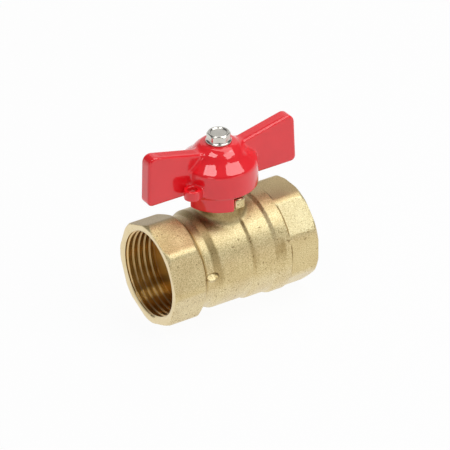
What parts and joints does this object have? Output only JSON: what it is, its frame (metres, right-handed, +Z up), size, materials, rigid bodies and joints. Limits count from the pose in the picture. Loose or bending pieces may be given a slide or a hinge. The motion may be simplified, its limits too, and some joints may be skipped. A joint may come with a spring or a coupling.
{
  "type": "ball valve",
  "caption": "Brass quarter-turn ball valve with female pipe threads at both ends, octagon ends, a screwed-in end connector and a red butterfly handle.",
  "frame": {"origin": "on the stem axis, at the surface that the valve lies on, which is also the middle of the whole valve in plan", "axes": "+X along the pipe run from the end connector (inlet) to the body's own outlet, +Y away from the front side with the sealing eye, +Z up along the stem to the handle screw"},
  "size_m": [0.0622, 0.04, 0.0698],
  "materials": {
    "forged_brass": "blasted, with fine grain",
    "turned_brass": "turned bright",
    "chromed_brass": "polished",
    "ptfe": "smooth white",
    "nitrile": "smooth black",
    "red_enamel": "glossy stove enamel",
    "nickel_plate": "bright plate"
  },
  "bodies": {
    "valve": {"valve_body": "forged_brass", "end_connector": "forged_brass", "body_seal": "nitrile", "seat_ring_outlet": "ptfe", "seat_ring_inlet": "ptfe", "thrust_washer": "ptfe", "packing_ring_lower": "ptfe", "packing_ring_upper": "ptfe", "packing_nut": "turned_brass"},
    "turning_set": {"handle": "red_enamel", "handle_screw": "nickel_plate", "stem": "turned_brass", "stem_seal": "nitrile", "ball": "chromed_brass"}
  },
  "joints": [
    {"name": "quarter_turn", "type": "hinge", "parent": "valve", "child": "turning_set", "pos_m": [0, 0, 0.046], "axis": [0, 0, 1], "range_deg": [-90, 0]}
  ]
}
